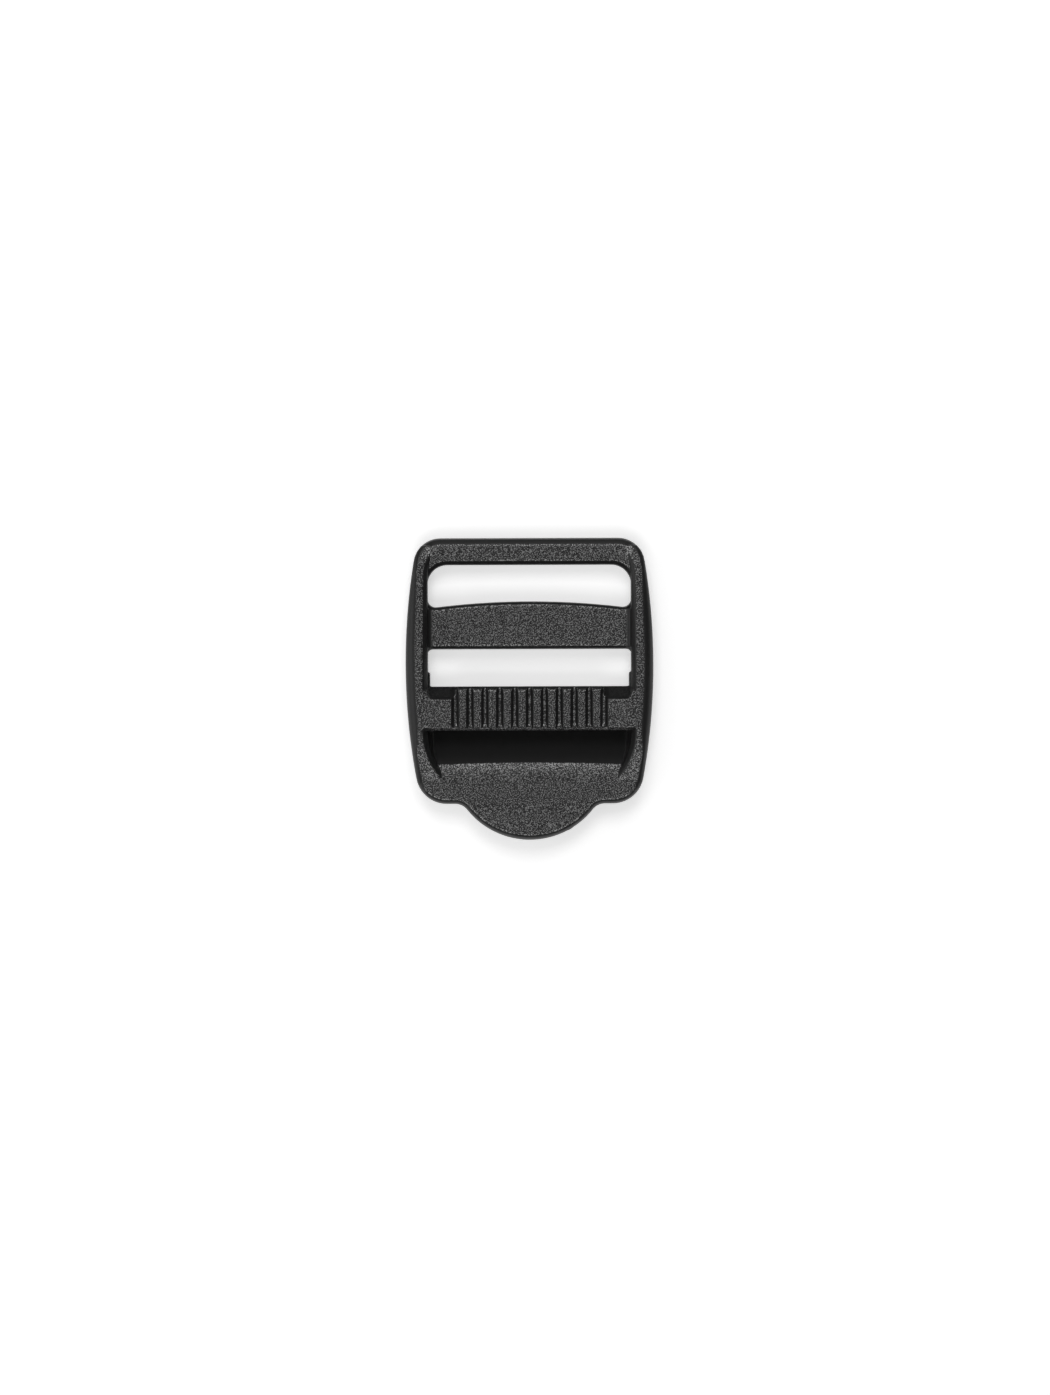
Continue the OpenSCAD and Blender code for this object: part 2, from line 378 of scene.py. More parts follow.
# anchor bar: a plate round the end of the frame, its top tilted up towards the rails
anchor = {
    "slotCorner": 2.6,
    "middleZ": 2.6,
    "topZ": 4.15,  # at the outer edge
    "tilt": 2.5,
    "rimWiden": 1.8,  # the outer rim's rounding is this many times as wide as the slot's
    "over": [(0.01, 0.6), (0.04, 0.42), (0.08, 0.26), (0.2, 0.26), (0.18, 0.19), (0.15, 0.05)],
    "under": [(0.06, 0.8), (0.12, 0.45), (0.2, 0.28), (0.3, 0.17)],
    "legOverlap": 0.8,
    "legInset": 0.4,
    "rimReach": 1.0,  # the rim is widened this far from the end
}


def buildAnchor():
    fromY = legY - anchor["legOverlap"]
    outer = [(outerX(fromY) - anchor["legInset"], fromY), (outerX(legY), legY)]
    outer += arcPoints((cornerX, cornerY), outline["cornerRadius"], math.degrees(cornerAngle), 90, 14)
    inner = arcPoints((slotHalf - anchor["slotCorner"], legY), anchor["slotCorner"], 90, 0, 12)
    inner += [(slotHalf, fromY)]
    points = outer + mirrored(outer) + mirrored(inner) + inner
    middle = anchor["middleZ"]
    over = stepsTo(anchor["over"], anchor["topZ"] - middle - thin)
    under = stepsTo(anchor["under"], middle - anchorLow.z)
    piece = roundedPlate("anchorBlank", points, middle, over, under)
    upperZ = middle + 0.1
    pickVerts(piece, lambda co: co.z > upperZ)
    bpy.ops.transform.rotate(
        value=math.radians(anchor["tilt"]), orient_axis="X", center_override=(0, endY, anchor["topZ"]))
    mesh = bmesh.from_edit_mesh(piece.data)
    for vert in mesh.verts:
        x, y, z = vert.co
        if z > upperZ and y > endY - anchor["rimReach"]:
            nearX = max(-cornerX, min(cornerX, x))
            out = Vector((x - nearX, y - cornerY))
            inward = (outline["cornerRadius"] - out.length) * anchor["rimWiden"]
            out.length = outline["cornerRadius"] - inward
            vert.co = (nearX + out.x, cornerY + out.y, z)
    bmesh.update_edit_mesh(piece.data)
    outOfEdit()
    return piece


anchorBar = buildAnchor()
print("anchor bar blanked out")

# centre bar: crowned towards the anchor slot, with rounded long edges and roots that widen at the rails
centre = {
    "crownRadius": 100.0,
    "frontRoot": 0.65,
    "rearRoot": 1.1,
    "over": [(0.04, 0.55), (0.08, 0.33), (0.12, 0.2), (0.17, 0.12), (0.22, 0.06)],
    "under": [(0.03, 0.55), (0.06, 0.33), (0.1, 0.2), (0.15, 0.12)],
    "buried": 0.8,  # how far its ends run into the rails
    "endFillet": 0.65,  # smooth hollow between its top and the rails
    "endInset": 0.2,  # the hollow stops this far short of the bar's long edges
    "endBuried": (0.3, 0.4),  # in the rail and in the bar
}


def buildCentre():
    frontRoot = centre["frontRoot"]
    rearRoot = centre["rearRoot"]
    frontY = centreLow.y + frontRoot
    rearY = centreHigh.y - rearRoot
    rearX = slotHalf - rearRoot
    crownY = rearY + fall(centre["crownRadius"], rearX)
    crownAngle = math.degrees(math.asin(rearX / centre["crownRadius"]))
    endX = slotHalf + centre["buried"]
    right = arcPoints((slotHalf - frontRoot, frontY - frontRoot), frontRoot, 90, 0, 6)
    right += [(endX, centreLow.y), (endX, centreHigh.y)]
    right += arcPoints((rearX, rearY + rearRoot), rearRoot, 0, -90, 6)
    crown = arcPoints((0, crownY - centre["crownRadius"]), centre["crownRadius"],
                      90 - crownAngle, 90 + crownAngle, 28)[1:-1]
    middle = (centreLow.z + centreHigh.z) / 2
    over = stepsTo(centre["over"], centreHigh.z - middle - thin)
    under = stepsTo(centre["under"], middle - centreLow.z)
    piece = roundedPlate("centreBlank", right + crown + mirrored(right), middle, over, under)
    outOfEdit()
    return piece


def buildEndFillet():
    radius = centre["endFillet"]
    top = centreHigh.z
    inRail, inBar = centre["endBuried"]
    section = arcPoints((slotHalf - radius, top + radius), radius, -90, 0, 6)
    section += [(slotHalf + inRail, top + radius), (slotHalf + inRail, top - inBar)]
    section += [(slotHalf - radius, top - inBar)]
    fromY = centreLow.y + centre["frontRoot"] + centre["endInset"]
    toY = centreHigh.y - centre["rearRoot"] - centre["endInset"]
    piece = drawOutline("rightFilletBlank", [(x, fromY, z) for x, z in section])
    bpy.ops.mesh.extrude_region_move(TRANSFORM_OT_translate={"value": (0, toY - fromY, 0)})
    turnOutwards()
    outOfEdit()
    return piece


centreBar = buildCentre()
rightFillet = buildEndFillet()
leftFillet = otherSide(rightFillet, "leftFilletBlank")
print("centre bar blanked out")

# lock bar: raised, with a bed for the ribs and a slanted notch at each end of its front
lock = {
    "notch": 1.68,
    "foot": 0.5,
    "notchCorner": (0.7, 1.1),  # rounding of the notches beside the rails, across and along
    "cornerX": 13.25,
    "cornerBuried": (0.7, 0.3),  # in the rail and in the plateau
    "bedDeep": 0.65,
    "bedHalf": 9.8,
    "bedFlare": 0.54,  # outward lean of the bed's ends
    "runOut": [(-4.45, 0.0), (-4.72, 0.08), (-4.92, 0.25), (-5.04, 0.46), (-5.12, 0.75)],
    "padHalf": 10.1,
    "padNarrow": 0.5,  # the pad under the ribs is narrower at its front edge by this
    "padEdge": 0.3,
    "padBuried": 0.4,
    "rearEdge": [(0.40, 0.0), (0.0, 0.34)],  # how far in and how far down
    "frontRound": 0.16,
    "buried": 0.6,
}
bedZ = lockHigh.z - lock["bedDeep"]


def buildNotchCorner(plateauY):  # fills the corner between the notch and the rail with a curve
    across, along = lock["notchCorner"]
    x = lock["cornerX"]
    curve = [
        (x - across + across * math.cos(a), plateauY + along + along * math.sin(a))
        for a in [math.radians(-9 * i) for i in range(11)]]
    inRail, inPlateau = lock["cornerBuried"]
    lowY = plateauY - inPlateau
    points = curve + [(x - across, lowY), (x + inRail, lowY), (x + inRail, plateauY + along)]
    piece = drawOutline("notchCornerBlank", [(px, py, lockLow.z) for px, py in points])
    rise = lockHigh.z - lockLow.z
    bpy.ops.mesh.extrude_region_move(TRANSFORM_OT_translate={"value": (0, 0, rise)})
    turnOutwards()
    outOfEdit()
    return piece


def buildPad(plateauY):  # carries the ribs in front of the plateau, its sides curved in towards the front
    half = lock["padHalf"]
    side = [
        (half - lock["padNarrow"] * math.sin(a), lockHigh.y - lock["notch"] * math.cos(a))
        for a in [math.radians(10 * i) for i in range(10)]]
    points = [(half, plateauY - lock["padBuried"])] + side
    piece = drawOutline("padBlank", [(x, y, lockLow.z) for x, y in points + mirrored(points)])
    bpy.ops.mesh.extrude_region_move(TRANSFORM_OT_translate={"value": (0, 0, bedZ - lockLow.z)})
    turnOutwards()
    pickEdges(piece, lambda middle, along: middle.z > bedZ - 0.01 and middle.y > lockHigh.y - 0.01)
    bpy.ops.mesh.bevel(offset=lock["padEdge"], segments=2)
    outOfEdit()
    return piece


def buildLock():
    plateauY = lockHigh.y - lock["notch"]
    rear = [(lockLow.y + inward, lockHigh.z - down) for inward, down in lock["rearEdge"]]
    body = drawAcross("lockBlank", [
        (lockHigh.y, lockLow.z), (lockHigh.y, lockLow.z + lock["foot"]), (plateauY, lockHigh.z)]
        + rear + [(lockLow.y, lockLow.z)], slotHalf + lock["buried"])
    pickEdges(body, lambda middle, along: (middle - Vector((0, plateauY, lockHigh.z))).length < 0.01)
    bpy.ops.mesh.bevel(offset=lock["frontRound"], segments=3)
    outOfEdit()
    clearZ = lockHigh.z + 1.2  # the cutter stands clear of the bar above and in front
    clearY = lockHigh.y + 2
    runOut = [(y, bedZ + up) for y, up in lock["runOut"]]
    bed = drawAcross("bedCutter", runOut + [
        (runOut[-1][0], clearZ), (clearY, clearZ), (clearY, bedZ)], lock["bedHalf"])
    mesh = bmesh.from_edit_mesh(bed.data)
    for vert in mesh.verts:
        vert.co.x *= 1 + lock["bedFlare"] * (vert.co.z - bedZ) / lock["bedHalf"]
    bmesh.update_edit_mesh(bed.data)
    outOfEdit()
    combine(body, buildPad(plateauY), "UNION")
    combine(body, bed, "DIFFERENCE")
    return body


lockBar = buildLock()
rightNotch = buildNotchCorner(lockHigh.y - lock["notch"])
leftNotch = otherSide(rightNotch, "leftNotchBlank")
print("lock bar blanked out")

# wall of the throat: from the lip under the lock bar up to the rounded brow of the tab
ramp = {
    "slope": 37.0,
    "browRadius": 4.0,
    "browY": -12.2,
    "topZ": 5.4,
    "lipUnder": 0.5,
    "lipDeep": 1.7,
    "lipOver": 0.2,  # the lip reaches this far under the lock bar
    "lipRound": 0.3,
    "halfWide": 13.7,
    "underZ": 3.1,
    "underRise": 0.1,
    "backY": -13.2,  # buried in the tab
}


def buildRamp():
    browZ = ramp["topZ"] - ramp["browRadius"]
    brow = arcPoints((ramp["browY"], browZ), ramp["browRadius"], 90, 90 - ramp["slope"], 8)
    topY, topZ = brow[-1]
    lipY = lockLow.y + ramp["lipOver"]
    lipZ = topZ - (lipY - topY) * math.tan(math.radians(ramp["slope"]))
    profile = brow + [
        (lipY, lipZ), (lipY, ramp["lipUnder"]), (lipY - ramp["lipDeep"], ramp["lipUnder"]),
        (splitY, ramp["underZ"]), (ramp["backY"], ramp["underZ"] + ramp["underRise"]),
        (ramp["backY"], ramp["topZ"])]
    piece = drawAcross("rampBlank", profile, ramp["halfWide"])
    pickEdges(piece, lambda middle, along: abs(along.x) > 0.9 and abs(middle.y - lipY) < 0.01)
    bpy.ops.mesh.bevel(offset=ramp["lipRound"], segments=3)
    outOfEdit()
    return piece


strapRamp = buildRamp()
print("throat wall blanked out")

# lift tab with both shoulders: a plate with rounded rims, bent up a little towards its tip
tab = {
    "frontY": -11.3,  # buried in the brow and in the rails
    "middleZ": 3.9,
    "topZ": 5.4,
    "underZ": 3.1,
    "frontInset": 0.05,
    "over": [
        (0.03, 0.45), (0.06, 0.35), (0.09, 0.26), (0.11, 0.18), (0.13, 0.12), (0.16, 0.07), (0.2, 0.03)],
    "under": [(0.05, 0.3), (0.12, 0.25), (0.2, 0.15), (0.3, 0.1)],
    "bendFromY": -12.5,
    "bends": 9,
    "bendEach": 0.72,
    "nub": (0.7, 0.22, 0.5),  # vestige of the gate on the tab's edge
    "nubAngle": -59.5,
    "nubUp": 0.45,
    "nubSunk": 0.1,
    "nubEdge": 0.1,
}


def buildTab():
    tabY = -endY + outline["tabRadius"]
    filletY = shoulderEndY - outline["tabFillet"]
    reach = outline["tabRadius"] + outline["tabFillet"]
    filletX = math.sqrt(reach ** 2 - (filletY - tabY) ** 2)
    filletAngle = math.degrees(math.atan2(filletY - tabY, filletX))
    right = arcPoints((0, tabY), outline["tabRadius"], -90, filletAngle, 22)
    right += arcPoints((filletX, filletY), outline["tabFillet"], filletAngle + 180, 90, 10)[1:]
    right += arcPoints((shoulderX, splitY), outline["shoulderRadius"], -90, -30, 10)
    right += [(outerX(tab["frontY"]) - tab["frontInset"], tab["frontY"])]
    points = right + mirrored(right)[:-1]
    over = stepsTo(tab["over"], tab["topZ"] - tab["middleZ"] - thin)
    under = stepsTo(tab["under"], tab["middleZ"] - tab["underZ"])
    piece = roundedPlate("tabBlank", points, tab["middleZ"], over, under)
    spacing = (tab["bendFromY"] + endY) / tab["bends"]
    for i in range(tab["bends"]):
        y = tab["bendFromY"] - spacing * i
        bpy.ops.mesh.select_all(action="SELECT")
        bpy.ops.mesh.bisect(plane_co=(0, y, 0), plane_no=(0, 1, 0))
    for i in range(tab["bends"]):
        y = tab["bendFromY"] - spacing * i
        pickVerts(piece, lambda co: co.y < y - 0.01)
        bpy.ops.transform.rotate(
            value=math.radians(tab["bendEach"]), orient_axis="X", center_override=(0, y, tab["middleZ"]))
    outOfEdit()
    return piece


def buildNub():
    wide, deep, tall = tab["nub"]
    a = math.radians(tab["nubAngle"])
    r = outline["tabRadius"] - tab["nubSunk"]
    bpy.ops.object.select_all(action="DESELECT")
    bpy.ops.mesh.primitive_cube_add(size=1, location=(0, 0, 0))
    piece = bpy.context.object
    piece.name = "gateNubBlank"
    bpy.ops.object.mode_set(mode="EDIT")
    bpy.ops.transform.resize(value=(deep, wide, tall))
    bpy.ops.transform.rotate(value=-a, orient_axis="Z", center_override=(0, 0, 0))
    bpy.ops.transform.translate(value=(
        r * math.cos(a),
        -endY + outline["tabRadius"] + r * math.sin(a),
        tab["middleZ"] + tab["nubUp"]))
    bpy.ops.mesh.select_all(action="SELECT")
    bpy.ops.mesh.bevel(offset=tab["nubEdge"], segments=2)
    outOfEdit()
    return piece


liftTab = buildTab()
gateNub = buildNub()
print("tab blanked out")

# the members are run together into one skin, as the plastic does in the mould
skin = {
    "voxel": 0.1,
    "smoothShare": 0.5,
    "smoothSteps": 5,
    "throatSteps": 60,
    "scoopX": ((10.2, 11.4), (13.6, 14.2)),  # a zone fades in over its first limits and out over its second
    "scoopY": ((-9.6, -9.2), (-6.2, -5.6)),
    "scoopZ": ((0.9, 1.6), (4.6, 5.3)),
    "scoopUp": (-0.3, 0.0),
    "scoopLevels": 8,
    "crease": 50,  # degrees
    "seamInset": 0.4,  # keeps the slot steps with the rails
}


def joinSkin(members):
    workOn(members[0])
    for piece in members:
        piece.select_set(True)
    bpy.ops.object.join()
    piece = bpy.context.object
    piece.name = "mouldingSkin"
    remesh = piece.modifiers.new("run together", "REMESH")
    remesh.mode = "VOXEL"
    remesh.voxel_size = skin["voxel"]
    remesh.use_smooth_shade = True
    bpy.ops.object.modifier_apply(modifier=remesh.name)
    smooth = piece.modifiers.new("soften", "SMOOTH")
    smooth.factor = skin["smoothShare"]
    smooth.iterations = skin["smoothSteps"]
    bpy.ops.object.modifier_apply(modifier=smooth.name)
    return piece


mouldingSkin = joinSkin([
    rightRail, leftRail, rightStep, leftStep, anchorBar, centreBar, rightFillet, leftFillet,
    lockBar, rightNotch, leftNotch, strapRamp, liftTab, gateNub])
print("skin has", len(mouldingSkin.data.polygons), "faces")


def skinPlaces(piece):  # vertex places and normals as arrays
    count = len(piece.data.vertices)
    places = np.zeros(count * 3, np.float32)
    normals = np.zeros(count * 3, np.float32)
    piece.data.vertices.foreach_get("co", places)
    piece.data.vertices.foreach_get("normal", normals)
    return places.reshape(-1, 3), normals.reshape(-1, 3)


def ease(value, low, high):  # 0 below low, 1 above high, smooth between
    t = np.clip((value - low) / (high - low), 0, 1)
    return t * t * (3 - 2 * t)


def after(value, limits):  # fades in over the limits
    return ease(value, limits[0], limits[1])


def before(value, limits):  # fades out over the limits
    return ease(-value, -limits[1], -limits[0])


def between(value, zone):
    return after(value, zone[0]) * before(value, zone[1])


def softenThroat(piece):  # the scooped corners beside the throat wall
    places, normals = skinPlaces(piece)
    x, y, z = np.abs(places[:, 0]), places[:, 1], places[:, 2]
    weight = between(x, skin["scoopX"]) * between(y, skin["scoopY"]) * between(z, skin["scoopZ"])
    weight *= after(normals[:, 2], skin["scoopUp"])
    group = piece.vertex_groups.new(name="throatSides")
    levels = skin["scoopLevels"]
    levelOf = np.rint(weight * levels).astype(int)
    for level in range(1, levels + 1):
        group.add(np.nonzero(levelOf == level)[0].tolist(), level / levels, "REPLACE")
    workOn(piece)
    smooth = piece.modifiers.new("scoop", "SMOOTH")
    smooth.factor = skin["smoothShare"]
    smooth.iterations = skin["throatSteps"]
    smooth.vertex_group = group.name
    bpy.ops.object.modifier_apply(modifier=smooth.name)
    piece.vertex_groups.clear()


# spark grain of the mould on the upward faces outside the throat, and a painted highlight on faces turned to
# the rear and front lamps and along edges
grained = {
    "level": (0.88, 0.93),  # faces that turn up more than this are grained
    "slanted": (0.66, 0.76),  # the same for the brow and the run-out of the grooves
    "browY": ((-12.6, -12.2), (-9.5, -9.2)),
    "browInside": (-0.1, 0.3),  # from the throat's side
    "runOutY": ((-5.0, -4.9), (-4.1, -4.0)),
    "runOutX": (9.7, 9.8),
    "railX": (13.3, 13.6),
    "railOutward": (0.0, 0.05),
    "railLevel": (0.93, 0.985),  # a rail's outer side is grained only where it is flatter than this
    "browLine": -9.58,  # edge of the grain over the throat
    "browBow": 0.0018,
    "browFade": (-0.06, 0.06),
    "throatY": (-5.5, -5.45),
    "throatX": (13.6, 13.95),
    "throatZ": (5.2, 5.4),
    "barEndX": ((12.5, 12.8), (13.4, 13.5)),  # the grain fades out at the centre bar's ends, so the hollows there are darker
    "barEndY": ((4.8, 5.0), (11.1, 11.3)),
    "barEndZ": (5.6, 5.7),
    "lipY": ((-5.42, -5.36), (-4.98, -4.92)),  # the lock bar's rear edge is half grained
    "lipX": (13.0, 13.2),
    "lipZ": (6.2, 6.3),
    "lipEdgeY": (-5.08, -5.02),
    "lipGrain": 0.65,
    "notchX": ((10.2, 10.4), (13.1, 13.3)),  # the notches get a faint grain: painted light that makes them a little paler
    "notchY": ((-1.2, -1.1), (0.3, 0.4)),
    "notchZ": (6.2, 6.3),
    "notchUp": (0.2, 0.3),
    "notchPaintedLight": 0.12,
    "broadY": ((-12.9, -12.6), (-5.6, -5.5)),  # the brow and the rails' noses get no painted highlight along their edges
    "crestLevel": (0.96, 0.99),
    # painted highlight along the rounded edges of grained tops and on the lock bar's rear edge
    "crestHighlight": 0.8,
    # painted highlight on faces turned to the rear lamps, and weaker on those turned to the front
    "rearHighlight": (0.06, 0.54),  # where it starts, and how far on it is full
    "frontHighlight": (0.06, 0.22),
    "frontHighlightShare": 0.4,
}


def paintedHighlightOn(facing):  # painted highlight where a face turns to the rear lamps, and less so where it turns to the front
    start, span = grained["rearHighlight"]
    rear = np.clip((facing - start) / span, 0, 1) ** 2
    return rear + grained["frontHighlightShare"] * after(-facing, grained["frontHighlight"])


def markPoints(piece, name, values):
    layer = piece.data.attributes.new(name, "FLOAT", "POINT")
    layer.data.foreach_set("value", values.astype(np.float32))


def markGrainAndHighlight(piece):
    places, normals = skinPlaces(piece)
    x, y, z = np.abs(places[:, 0]), places[:, 1], places[:, 2]
    up = normals[:, 2]
    run = np.clip(lockLow.y - y, 0, rail["throatRadius"] * rail["throatArc"])
    throatX = slotHalf - rail["throatRadius"] + np.sqrt(rail["throatRadius"] ** 2 - run * run)
    brow = between(y, grained["browY"]) * after(throatX - x, grained["browInside"])
    runOut = between(y, grained["runOutY"]) * before(x, grained["runOutX"])
    level = after(up, grained["level"])
    grain = np.maximum(level, np.maximum(brow, runOut) * after(up, grained["slanted"]))
    onRails = after(x, grained["railX"])
    outward = np.sign(places[:, 0]) * normals[:, 0]
    grain = grain * (1 - onRails * after(outward, grained["railOutward"]) * before(up, grained["railLevel"]))
    browLine = grained["browLine"] - grained["browBow"] * x * x
    throat = before(y, grained["throatY"]) * after(y - browLine, grained["browFade"])
    throat *= before(x, grained["throatX"]) * before(z, grained["throatZ"])
    barEnds = between(x, grained["barEndX"]) * between(y, grained["barEndY"]) * before(z, grained["barEndZ"])
    grain = grain * (1 - throat) * (1 - barEnds)
    lip = between(y, grained["lipY"]) * before(x, grained["lipX"]) * after(z, grained["lipZ"])
    lipEdge = lip * after(y, grained["lipEdgeY"])
    grain = np.maximum(grain, lip * grained["lipGrain"])
    # painted light: a faint grain makes the notches a little paler
    notch = between(x, grained["notchX"]) * between(y, grained["notchY"])
    notch *= before(z, grained["notchZ"]) * after(up, grained["notchUp"])
    grain = np.maximum(grain, notch * grained["notchPaintedLight"])
    broad = between(y, grained["broadY"])
    # painted highlight along the rounded edges of grained tops and on the lock bar's rear edge
    crest = level * before(up, grained["crestLevel"]) * (1 - onRails) * (1 - broad) * (1 - barEnds)
    edges = grained["crestHighlight"] * np.maximum(crest, lipEdge)
    # painted highlight: grained faces turned to the lamps, and the edges above
    paintedHighlight = np.maximum(grain * paintedHighlightOn(normals[:, 1]) * (1 - lip), edges)
    markPoints(piece, "grain", grain)
    markPoints(piece, "paintedHighlight", paintedHighlight)


softenThroat(mouldingSkin)
markGrainAndHighlight(mouldingSkin)
print("throat softened and grain marked")

# grip ribs: one is modelled, the rest are copies with their own mesh
ribs = {
    "count": 10,
    "pitch": 1.93,
    "baseWide": 1.70,
    "topWide": 0.93,
    "frontGap": 0.06,  # behind the lock bar's front face
    "front": [  # how far in and how far down
        (0.95, 0.0), (0.62, 0.05), (0.36, 0.17), (0.17, 0.34), (0.04, 0.58)],
    "rearY": -5.0,
    "below": 0.02,  # the tops lie a hair under the plateau behind them
    "sunk": 0.06,
    "edgeRound": 0.1,
    "crease": 35,  # degrees
    "grainUp": (0.72, 0.86),
}


def buildRibs():
    frontY = lockHigh.y - ribs["frontGap"]
    topZ = lockHigh.z - ribs["below"]
    low = bedZ - ribs["sunk"]
    front = [(frontY - inward, topZ - down) for inward, down in ribs["front"]]
    profile = [(frontY, low), (ribs["rearY"], low), (ribs["rearY"], topZ)] + front
    first = drawAcross("gripRibs", profile, ribs["baseWide"] / 2)
    mesh = bmesh.from_edit_mesh(first.data)
    for vert in mesh.verts:
        up = max(0.0, (vert.co.z - bedZ) / (topZ - bedZ))
        vert.co.x *= 1 - up * (1 - ribs["topWide"] / ribs["baseWide"])
    bmesh.update_edit_mesh(first.data)
    pickEdges(first, lambda middle, along: (
        abs(middle.x) > 0.1 and middle.z > bedZ + 0.15 and abs(along.y) > 0.5))
    bpy.ops.mesh.bevel(offset=ribs["edgeRound"], segments=2)
    bpy.ops.mesh.select_all(action="SELECT")
    bpy.ops.transform.translate(value=(-(ribs["count"] - 1) / 2 * ribs["pitch"], 0, 0))
    outOfEdit()
    row = [first]
    for i in range(1, ribs["count"]):
        copy = copyOf(first, "gripRib")
        bpy.ops.object.mode_set(mode="EDIT")
        bpy.ops.mesh.select_all(action="SELECT")
        bpy.ops.transform.translate(value=(i * ribs["pitch"], 0, 0))
        outOfEdit()
        row.append(copy)
    workOn(first)
    for rib in row:
        rib.select_set(True)
    bpy.ops.object.join()
    workOn(first)
    bpy.ops.object.shade_smooth_by_angle(angle=math.radians(ribs["crease"]))
    grain = first.data.attributes.new("grain", "FLOAT", "FACE")
    # painted highlight on rib faces turned to the rear lamps, less so to the front
    paintedHighlight = first.data.attributes.new("paintedHighlight", "FLOAT", "FACE")
    for face in first.data.polygons:
        amount = float(after(face.normal.z, ribs["grainUp"]))
        grain.data[face.index].value = amount
        paintedHighlight.data[face.index].value = amount * float(paintedHighlightOn(face.normal.y))
    return first


gripRibs = buildRibs()
print("ribs made")

# the skin is cut into the frame's members

def cutOff(piece, name, place, direction):  # takes what lies beyond a plane as a piece of its own
    beyond = copyOf(piece, name)
    for part, inner in ((beyond, True), (piece, False)):
        intoEdit(part)
        bpy.ops.mesh.select_all(action="SELECT")
        bpy.ops.mesh.bisect(
            plane_co=place, plane_no=direction, use_fill=True, clear_inner=inner, clear_outer=not inner,
            threshold=0.00001)
        outOfEdit()
    return beyond


seamX = slotHalf - skin["seamInset"]
anchorSkin = cutOff(mouldingSkin, "anchorBar", (0, legY, 0), (0, 1, 0))
tabSkin = cutOff(mouldingSkin, "liftTab", (0, splitY, 0), (0, -1, 0))
rightShoulder = cutOff(tabSkin, "rightShoulder", (shoulderX, 0, 0), (1, 0, 0))
leftShoulder = cutOff(tabSkin, "leftShoulder", (-shoulderX, 0, 0), (-1, 0, 0))
rightRailSkin = cutOff(mouldingSkin, "rightRail", (seamX, 0, 0), (1, 0, 0))
leftRailSkin = cutOff(mouldingSkin, "leftRail", (-seamX, 0, 0), (-1, 0, 0))
centreSkin = cutOff(mouldingSkin, "centreBar", (0, (centreLow.y + lockHigh.y) / 2, 0), (0, 1, 0))
workOn(mouldingSkin)
bpy.ops.mesh.separate(type="LOOSE")  # what is left is the lock bar and the ramp, with a gap between them
loose = sorted(bpy.context.selected_objects, key=lambda piece: piece.bound_box[1][2])
rampSkin, lockSkin = loose  # the lock bar stands higher
lockSkin.name = "lockBar"
rampSkin.name = "strapRamp"

pieces = {
    "left_rail": leftRailSkin,
    "right_rail": rightRailSkin,
    "anchor_bar": anchorSkin,
    "centre_bar": centreSkin,
    "lock_bar": lockSkin,
    "grip_ribs": gripRibs,
    "strap_ramp": rampSkin,
    "lift_tab": tabSkin,
    "left_shoulder": leftShoulder,
    "right_shoulder": rightShoulder,
}
for node, piece in pieces.items():
    workOn(piece)
    piece.scale = (mm, mm, mm)
    bpy.ops.object.transform_apply(location=True, rotation=True, scale=True)
    if piece != gripRibs:
        bpy.ops.object.shade_smooth_by_angle(angle=math.radians(skin["crease"]))
    print(piece.name, len(piece.data.polygons), "faces")

# black acetal: spark grain where the mould was grained, a soft sheen elsewhere, and a painted highlight
# where the mark for it is set
acetal = {
    "darkColour": (0.001, 0.001, 0.001, 1),
    "plainColour": (0.013, 0.013, 0.0131, 1),
    "paleColour": (0.19, 0.19, 0.1905, 1),
    # painted highlight: the pale and dark grains are lifted to these colours
    "highlightColour": (0.55, 0.55, 0.551, 1),
    "highlightPitColour": (0.06, 0.06, 0.0602, 1),
    "speckle": (0.53, 0.6),
    "smoothRough": 0.30,
    "grainRough": 0.36,
    "grainScale": 7000.0,
    "pitScale": 7000.0,
    "grainBump": 1.0,
    "bumpHeight": 0.0001,
    "waveScale": 500.0,
    "waveRough": 0.08,
    "pitShare": 0.5,
    "smoothBump": 0.03,
    "ior": 1.48,
}


